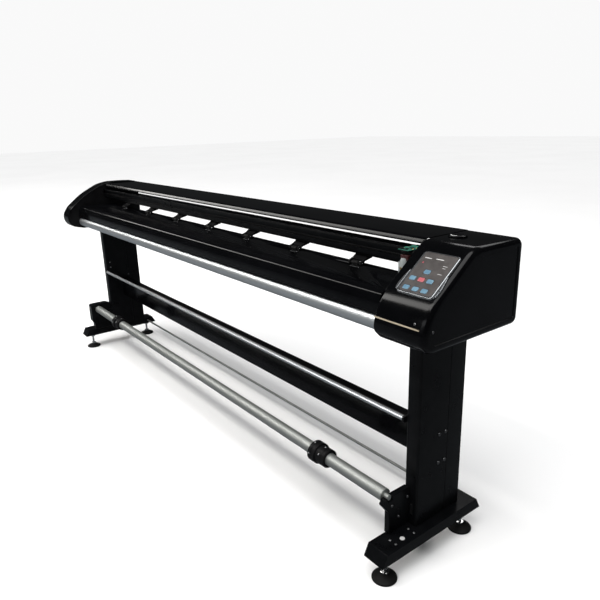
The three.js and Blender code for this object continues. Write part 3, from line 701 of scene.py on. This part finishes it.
# ---- housings -----------------------------------------------------------------------------------
# corners as (Y, Z) and the radius of each, in millimetres
RIGHT_PROFILE = (
    (231, 757), (231, 1013.7), (10, 1013.7), (-136, 900), (-166, 862), (-184, 812), (-184, 788), (-153, 757),
)
RIGHT_RADII = (24, 24, 90, 180, 160, 100, 60, 40)
LEFT_PROFILE = (
    (231, 757), (231, 1016), (134, 1020), (60, 1020), (-3, 1009), (-112, 954), (-198, 886), (-226, 842),
    (-226, 806), (-206, 774), (-140, 757),
)
LEFT_RADII = (24, 26, 200, 200, 260, 400, 110, 60, 60, 60, 60)
OUTER_ROUND = 18 * MM
RIGHT_MOUTH_ROUND, LEFT_MOUTH_ROUND = 8 * MM, 3 * MM
ARC_STEPS = 10
FIELD_SUNK, FIELD_MARGIN, FIELD_SLOPE, FIELD_MIN_RADIUS = 2.6 * MM, 6 * MM, 1.6 * MM, 6 * MM
WALL, MOUTH_DEPTH = 2 * MM, 12 * MM
INLET_ROOM = Vector((0.0005, 0.012, 0.0005))
SWITCH_ROOM = Vector((0.0012, 0.012, 0.003))
UNDER_OPENING_Y, UNDER_OPENING_Z = (-0.140, 0.218), (0.74, 0.78)
UNDER_OPENING_PAST_MOUTH, UNDER_OPENING_PAST_FLANGE = 0.005, 0.004
NOSE_SCREW, NOSE_SCREW_NORMAL = (1.375, -0.1735, 0.8385), (0, -0.94, 0.34)
SIDE_SCREW_YZ, SIDE_SCREW_SUNK, HOUSING_SCREW_RADIUS = (-0.147, 0.820), 0.0027, 0.004
# section (Y, Z) and end insets of the cream strip painted where a band highlight runs along the right
# housing's nose
NOSE_HIGHLIGHT_STRIP = ((-0.1812, 0.8255), (-0.1798, 0.8293), (-0.1780, 0.8286), (-0.1794, 0.8248))
NOSE_HIGHLIGHT_ENDS = (0.003, 0.021)


def rounding(outline, face, side, radius, inwards):
    """Loops of a rounded end: from the inset outline on the face to the full outline, or back."""
    loops = []
    for k in range(ARC_STEPS + 1):
        angle = math.pi / 2 * (k if inwards else ARC_STEPS - k) / ARC_STEPS
        along = face - side * radius * (1 - math.sin(angle))
        loops.append((along, inset(outline, radius * (1 - math.cos(angle)))))
    return loops


def housing(node, profile, radii, inner, outer, round_mouth, openings=()):
    """Moulded end housing: a shell with a rounded outer end, a sunk side field and an open mouth."""
    side = 1 if outer > inner else -1
    margin = OUTER_ROUND + FIELD_MARGIN
    corners = [(a * MM, b * MM) for a, b in profile]
    outline = rounded(corners, [r * MM for r in radii], steps=8)
    field_radii = [max(r * MM - margin, FIELD_MIN_RADIUS) for r in radii]
    field = rounded(inset(corners, margin), field_radii, steps=8)
    hollow = inset(outline, round_mouth + WALL)
    loops = [(outer - side * FIELD_SUNK, inset(field, FIELD_SLOPE)), (outer, field)]
    loops += rounding(outline, outer, side, OUTER_ROUND, inwards=False)
    loops += rounding(outline, inner, -side, round_mouth, inwards=True)
    loops += [(inner, hollow), (inner + side * MOUTH_DEPTH, hollow), (outer - side * 2 * FIELD_SUNK, hollow)]
    rings = [[(x, y, z) for y, z in loop] for x, loop in loops]
    piece = add_object(node + "_shell", skin(rings), "gloss_black", smooth=40)
    carve_boxes(piece, openings)
    settle(piece, ROOT, (node,))
    bevelled(piece, width=0.0009, angle=45)


def make_housings():
    low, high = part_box("housing_right")
    left_low, left_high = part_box("housing_left")
    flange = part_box("side_plate_right")[1].x
    inlet_low, inlet_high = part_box("power_inlet")
    switch_low, switch_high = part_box("power_switch")
    (y_low, y_high), (z_low, z_high) = UNDER_OPENING_Y, UNDER_OPENING_Z
    openings = [
        ((low.x - UNDER_OPENING_PAST_MOUTH, y_low, z_low),
         (flange + UNDER_OPENING_PAST_FLANGE, y_high, z_high)),
        (inlet_low - INLET_ROOM, inlet_high + INLET_ROOM),
        (switch_low - SWITCH_ROOM, switch_high + SWITCH_ROOM),
    ]
    housing("housing_right", RIGHT_PROFILE, RIGHT_RADII, low.x, high.x, RIGHT_MOUTH_ROUND, openings)
    housing("housing_left", LEFT_PROFILE, LEFT_RADII, left_high.x, left_low.x, LEFT_MOUTH_ROUND)
    for node in ("side_plate_left", "side_plate_right"):
        soft_copy(node, "satin_black", FINE_EDGE, segments=2)
    side_screw = (high.x - SIDE_SCREW_SUNK, *SIDE_SCREW_YZ)
    screws("housing_screws", [(NOSE_SCREW, NOSE_SCREW_NORMAL, HOUSING_SCREW_RADIUS),
                              (side_screw, (1, 0, 0), HOUSING_SCREW_RADIUS)], "dark_steel")


def make_nose_highlight():
    """Pale cream strip along the nose of the right housing: a painted highlight standing in for the band of
    light on the rounded nose.
    """
    low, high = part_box("housing_right")
    start, end = low.x + NOSE_HIGHLIGHT_ENDS[0], high.x - NOSE_HIGHLIGHT_ENDS[1]
    highlight_strip = prism("nose_painted_highlight", "x", NOSE_HIGHLIGHT_STRIP, start, end, "cream_painted_highlight", bevel=0.0002)
    settle(highlight_strip, ROOT)


# ---- bed ----------------------------------------------------------------------------------------
PINCH_COUNT = 7
PLATEN_BOTTOM, PLATEN_THICK = 0.817, 0.003
NOTCH_HALF_WIDTH, NOTCH_Y, NOTCH_BELOW, NOTCH_ABOVE = 0.024, (-0.011, 0.019), 0.006, 0.004
COVER_THICK = 0.002


def platen_line(front, rear, top):
    """Upper side of the bed plate: front apron, flat platen and the rear guide sloping down."""
    return rounded([
        (front, PLATEN_BOTTOM + 0.011), (front, top - 0.039), (front + 0.009, top - 0.008),
        (front + 0.022, top), (0.050, top), (0.142, 0.8475), (rear, PLATEN_BOTTOM + 0.003),
    ], [0, 0.10, 0.020, 0.030, 0.012, 0.06, 0], steps=8)


def make_platen():
    """Bed plate with a notch for each pinch roller."""
    low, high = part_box("platen")
    notches = []
    for k in range(PINCH_COUNT):
        x = middle_line(f"pinch_arm_{k + 1}", "z")[0]
        notches.append(((x - NOTCH_HALF_WIDTH, NOTCH_Y[0], high.z - NOTCH_BELOW),
                        (x + NOTCH_HALF_WIDTH, NOTCH_Y[1], high.z + NOTCH_ABOVE)))
    section = sheet_outline(platen_line(low.y, high.y, high.z), PLATEN_THICK)
    sheet = prism("platen_sheet", "x", section, low.x, high.x, "gloss_black", bevel=0, smooth=30)
    carve_boxes(sheet, notches)
    settle(sheet, ROOT, ("platen",))


def make_cover():
    """Top cover: a flat sheet with a chamfered front lip and a rear skirt."""
    low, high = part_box("top_cover")
    line = rounded([
        (low.y, high.z - 0.017), (low.y, high.z - 0.0145), (low.y + 0.0085, high.z), (high.y, high.z),
        (high.y, low.z),
    ], [0, 0.008, 0.012, 0.005, 0], steps=10)
    section = sheet_outline(line, COVER_THICK)
    sheet = prism("top_cover_sheet", "x", section, low.x, high.x, "gloss_black", bevel=0, smooth=30)
    settle(sheet, ROOT, ("top_cover",))


def make_bed():
    make_platen()
    for node, width in (("bed_beam", PLATE_EDGE), ("rail_beam", PLATE_EDGE), ("linear_rail", FINE_EDGE)):
        soft_copy(node, "painted_frame", width)
    make_cover()
    tube_piece("front_tube", radius=0.0247, spindle=0.008, left_end=0.008, right_end=0.008,
               look="bright_metal")


# ---- feed and cutting head ----------------------------------------------------------------------
PIN_RADIUS, PIN_CHAMFER = 0.0025, 0.0004
TYRE_HALF, TYRE_SHOULDER, TYRE_BORE, TYRE_EDGE, TYRE_RADIUS = 0.014, 0.0132, 0.0026, 0.0072, 0.0079
BOARD_LIFT, BOARD_THICK, BOARD_REAR = 0.0012, 0.0016, 0.040
CHIP_HEIGHT = 0.0026
RED_CAP_LOW, RED_CAP_HIGH = Vector((0.010, -0.014, -0.030)), Vector((0.038, 0.0002, -0.013))
SPACER_RADIUS = 0.0022
# offset from the carriage's left face, Y, width, depth and look of each chip
CHIPS = (
    (0.006, -0.038, 0.012, 0.007, "satin_black"), (0.022, -0.036, 0.008, 0.010, "satin_black"),
    (0.006, -0.018, 0.016, 0.010, "green_pad"), (0.026, -0.014, 0.007, 0.007, "satin_black"),
    (0.008, 0.010, 0.022, 0.008, "green_pad"), (0.010, 0.024, 0.012, 0.010, "satin_black"),
)
CLAMP_RING = ((0.930, 0.0110), (0.9305, 0.0121), (0.9355, 0.0121), (0.936, 0.0110))
CLAMP_INSET = 0.011


def pinch_station(number):
    """Sprung arm with a rubber-tyred roller on a pin."""
    arm, roller = f"pinch_arm_{number}", f"pinch_roller_{number}"
    soft_copy(arm, "satin_black", PLATE_EDGE, arm)
    low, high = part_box(roller)
    centre = middle_line(roller, "x")
    middle = (low.x + high.x) / 2
    pin = [(low.x, PIN_RADIUS - PIN_CHAMFER), (low.x + PIN_CHAMFER, PIN_RADIUS),
           (high.x - PIN_CHAMFER, PIN_RADIUS), (high.x, PIN_RADIUS - PIN_CHAMFER)]
    pin = turned(roller + "_pin", "x", pin, centre, "chrome", segments=24)
    settle(pin, roller, (roller,))
    tyre = [(middle - TYRE_HALF, TYRE_BORE), (middle - TYRE_HALF, TYRE_EDGE),
            (middle - TYRE_SHOULDER, TYRE_RADIUS), (middle + TYRE_SHOULDER, TYRE_RADIUS),
            (middle + TYRE_HALF, TYRE_EDGE), (middle + TYRE_HALF, TYRE_BORE)]
    tyre = turned(roller + "_tyre", "x", tyre, centre, "black_rubber", segments=48)
    settle(tyre, roller)


def make_feed():
    for k in range(PINCH_COUNT):
        pinch_station(k + 1)
    soft_copy("feed_shaft", "steel", FINE_EDGE, "feed_shaft", segments=2)
    for node in ("feed_motor", "carriage_motor"):
        soft_copy(node, "satin_black", FINE_EDGE, segments=2)


def carriage_board(low, high):
    """Circuit board on brass spacers on top of the carriage, with its screws and chips."""
    lift = high.z + BOARD_LIFT
    face = lift + BOARD_THICK
    board = box_piece("carriage_board", (low.x + 0.003, low.y - 0.018, lift),
                      (high.x - 0.002, BOARD_REAR, face), "board_green", HAIR_EDGE)
    settle(board, "carriage")
    posts = []
    for x in (low.x + 0.008, high.x - 0.007):
        for y in (low.y + 0.008, -0.001):
            posts.append(((x, y, face), (0, 0, 1), SPACER_RADIUS))
            profile = [(high.z - 0.001, SPACER_RADIUS), (lift, SPACER_RADIUS)]
            spacer = turned(f"board_spacer_{len(posts)}", "z", profile, (x, y), "brass", segments=20)
            settle(spacer, "carriage")
    screws("carriage_board_screws", posts, "brass", "carriage")
    for i, (dx, y, wide, deep, look) in enumerate(CHIPS):
        x = low.x + dx
        chip = box_piece(f"carriage_chip_{i + 1}", (x, y, face), (x + wide, y + deep, face + CHIP_HEIGHT),
                         look, bevel=0.0004)
        settle(chip, "carriage")


def make_carriage():
    soft_copy("carriage", "satin_black", bevel=0.0015, body="carriage")
    soft_copy("tool_holder", "smoked_plastic", FINE_EDGE, "tool_holder", segments=2)
    low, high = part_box("carriage")
    carriage_board(low, high)
    cap = box_piece("carriage_red_cap", Vector((low.x, low.y, high.z)) + RED_CAP_LOW,
                    Vector((low.x, low.y, high.z)) + RED_CAP_HIGH, "dark_red", bevel=0.0018)
    settle(cap, "carriage")
    centre = (middle_line("tool_holder", "z")[0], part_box("tool_holder")[0].y + CLAMP_INSET)
    ring = turned("tool_clamp_ring", "z", CLAMP_RING, centre, "brass", segments=48)
    settle(ring, "tool_holder")


# ---- console ------------------------------------------------------------------------------------
# on the console, U runs across and V up the slope from the middle of the film's lower edge
KEY_NAMES = ("key_up", "key_left", "key_stop", "key_right", "key_speed", "key_origin", "key_start")
SLOPE = math.radians(37.6)
FILM_OFFSET, FILM_SUNK = 0.0043, 0.0003
FILM_LENGTH = 0.1400
BEZEL_HALF, BEZEL_OPENING_HALF = 0.0610, 0.0548
BEZEL_ROUND, BEZEL_OPENING_ROUND = 0.011, 0.0052
# inset of the outer edge and height above the film, from the foot of the bezel to its crest
BEZEL_EDGE = ((0, 0.0002), (0.0003, 0.0022), (0.0012, 0.0040), (0.0026, 0.0050), (0.0042, 0.0052))
WING_OUTLINE = ((0.0613, 0.082), (0.0665, 0.055), (0.0700, 0.028), (0.0690, 0.006), (0.0613, -0.004))
WING_BOTTOM, WING_TOP = 0.0002, 0.0052
# centre, width, height and look of each plain mark
MARKS = (
    (-0.034, 0.118, 0.022, 0.0028, "pale_mark_and_glint"), (0.004, 0.120, 0.026, 0.0028, "pale_mark_and_glint"),
    (-0.041, 0.101, 0.005, 0.005, "key_red"), (0.034, 0.101, 0.014, 0.0016, "pale_mark_and_glint"),
    (0.034, 0.094, 0.010, 0.0016, "pale_mark_and_glint"), (0.034, 0.073, 0.014, 0.0016, "pale_mark_and_glint"),
)
MARK_BOTTOM, MARK_TOP = 0.0043, 0.0047
# drop below the key's top and inset of its outline, up the side and into the dished face
KEY_CROWN = ((0.0010, 0), (0.0003, 0.0004), (0, 0.0011), (0.0002, 0.0030))


def console_frame():
    """Frame on the sloped console face: X across, Y up the slope, Z out of it."""
    low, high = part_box("control_panel")
    origin = Vector((
        (low.x + high.x) / 2,
        low.y + FILM_OFFSET * math.sin(SLOPE),
        low.z - FILM_SUNK * math.cos(SLOPE),
    ))
    return Matrix.Translation(origin) @ Matrix.Rotation(SLOPE, 4, "X")


def on_console(piece, matrix):
    """Moves a piece drawn in the console's frame to its place on the machine."""
    piece.data.transform(matrix)
    return piece


def pad_outline(u, v, width, height):
    """Rectangle about its middle."""
    return rectangle(u - width / 2, v - height / 2, u + width / 2, v + height / 2)


def console_bezel(matrix):
    """Clear raised frame round the film, with a curved wing on each side."""
    outer = pad_outline(0, FILM_LENGTH / 2 - 0.0030, 2 * BEZEL_HALF, FILM_LENGTH + 0.010)
    outer = rounded(outer, BEZEL_ROUND, steps=8)
    inner = pad_outline(0, FILM_LENGTH / 2 - 0.0003, 2 * BEZEL_OPENING_HALF, FILM_LENGTH + 0.0004)
    inner = rounded(inner, BEZEL_OPENING_ROUND, steps=8)
    loops = [(inset(outer, shrink), z) for shrink, z in BEZEL_EDGE]
    loops += [(inner, 0.0048), (inner, 0.0002), (outer, 0.0002)]
    rings = [[(a, b, z) for a, b in outline] for outline, z in loops]
    bezel = add_object("console_bezel", skin(rings, False, False), "clear_bezel")
    settle(on_console(bezel, matrix), ROOT)
    for side, mirror in SIDES:
        outline = rounded([(mirror * u, v) for u, v in WING_OUTLINE], radius=0.02)
        wing = prism("console_wing_" + side, "z", outline, WING_BOTTOM, WING_TOP, "clear_bezel",
                     bevel=0.0022)
        settle(on_console(wing, matrix), ROOT)


def key_cap(node, matrix):
    """Key with a softened edge and a slightly dished face."""
    back = matrix.inverted()
    vertices = [back @ v.co for v in frame["nodes"][node].data.vertices]
    low = Vector([min(v[i] for v in vertices) for i in range(3)])
    high = Vector([max(v[i] for v in vertices) for i in range(3)])
    centre = (low + high) / 2
    outline = pad_outline(centre.x, centre.y, high.x - low.x, high.y - low.y)
    outline = rounded(outline, radius=0.0035, steps=5)
    levels = [(low.z, 0)] + [(high.z - drop, shrink) for drop, shrink in KEY_CROWN]
    rings = [[(a, b, z) for a, b in inset(outline, shrink)] for z, shrink in levels]
    slot = "key_red" if node == "key_stop" else "key_blue"
    cap = on_console(add_object(node + "_cap", skin(rings), slot), matrix)
    settle(cap, node, (node,))


def make_console():
    matrix = console_frame()
    film = soft_copy("control_panel", "panel_grey", FINE_EDGE, segments=2)
    film.name = "control_panel_film"
    console_bezel(matrix)
    for node in KEY_NAMES:
        key_cap(node, matrix)
    for i, (u, v, width, height, look) in enumerate(MARKS):
        outline = rounded(pad_outline(u, v, width, height), radius=0.0007, steps=3)
        mark = prism(f"console_mark_{i + 1}", "z", outline, MARK_BOTTOM, MARK_TOP, look, bevel=0.0001)
        settle(on_console(mark, matrix), ROOT)


# ---- knob and power fittings --------------------------------------------------------------------
# drop below the knob's top and inset from its radius, over the rim and into the shallow dish
KNOB_RIM = ((0.0054, 0.0010), (0.0050, 0.0004), (0.0028, 0.0004), (0.0016, 0.0012), (0.0006, 0.0040),
            (0.0002, 0.0080), (0.0010, 0.0120))
KNOB_NECK = 0.0045
KNOB_DISH_DEPTH, KNOB_DISH_FLAT = 0.0014, 0.004
# pale crescent along the front of the knob's rim: a painted glint
CRESCENT_START, CRESCENT_STEP, CRESCENT_STEPS = 215, 3.6, 24
CRESCENT_INSET, CRESCENT_MIN, CRESCENT_SWELL, CRESCENT_THICK = 0.0100, 0.0016, 0.0040, 0.0030


def crescent(centre, radius):
    """Outline of the crescent: a plain inner arc and an outer arc that swells in the middle."""
    inner, outer = [], []
    for k in range(CRESCENT_STEPS + 1):
        angle = math.radians(CRESCENT_START + CRESCENT_STEP * k)
        width = CRESCENT_MIN + CRESCENT_SWELL * math.sin(math.pi * k / CRESCENT_STEPS)
        for arc, reach in ((inner, radius), (outer, radius + width)):
            arc.append((centre[0] + reach * math.cos(angle), centre[1] + reach * math.sin(angle)))
    return inner + outer[::-1]


def make_knob():
    low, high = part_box("turn_knob")
    centre = middle_line("turn_knob", "z")
    radius = (high.x - low.x) / 2
    top = high.z
    dial = [(low.z, KNOB_NECK), (top - KNOB_RIM[0][0], KNOB_NECK)]
    dial += [(top - drop, radius - shrink) for drop, shrink in KNOB_RIM]
    dial += [(top - KNOB_DISH_DEPTH, KNOB_DISH_FLAT)]
    knob = turned("turn_knob_dial", "z", dial, centre, "gloss_black", segments=96)
    settle(knob, "turn_knob", ("turn_knob",))
    # painted highlight: pale crescent where the knob's rim shows a bright glint
    outline = crescent(centre, radius - CRESCENT_INSET)
    painted_glint = prism("turn_knob_painted_glint", "z", outline, top - CRESCENT_THICK, top, "pale_mark_and_glint", HAIR_EDGE)
    settle(painted_glint, "turn_knob")


def make_power_fittings():
    soft_copy("power_inlet", "satin_black", FINE_EDGE, segments=2)
    soft_copy("power_switch", "satin_black", bevel=0.0008, body="power_switch", segments=2)


# ---- whole scene --------------------------------------------------------------------------------
FLOOR_HALF = 40


def dress_cad():
    """Finer materials for the CAD nodes that stay, from their record slots."""
    for entry in frame["record"]["subparts"]:
        node = frame["nodes"][entry["node"]]
        node.data.materials.clear()
        node.data.materials.append(LOOK[entry["material_slot"]])


def make_floor():
    bm = bmesh.new()
    corners = rectangle(-FLOOR_HALF, -FLOOR_HALF, FLOOR_HALF, FLOOR_HALF)
    bm.faces.new([bm.verts.new((x, y, 0)) for x, y in corners])
    floor = add_object("studio_floor", bm, "floor")


make_camera()
make_light()
plastic_and_paint()
metals()
console_and_board()
floor_look()
make_floor()
dress_cad()
make_stand()
foot_fittings()
column_fittings()
make_takeup()
make_housings()
make_bed()
make_feed()
make_carriage()
make_console()
make_nose_highlight()
make_knob()
make_power_fittings()
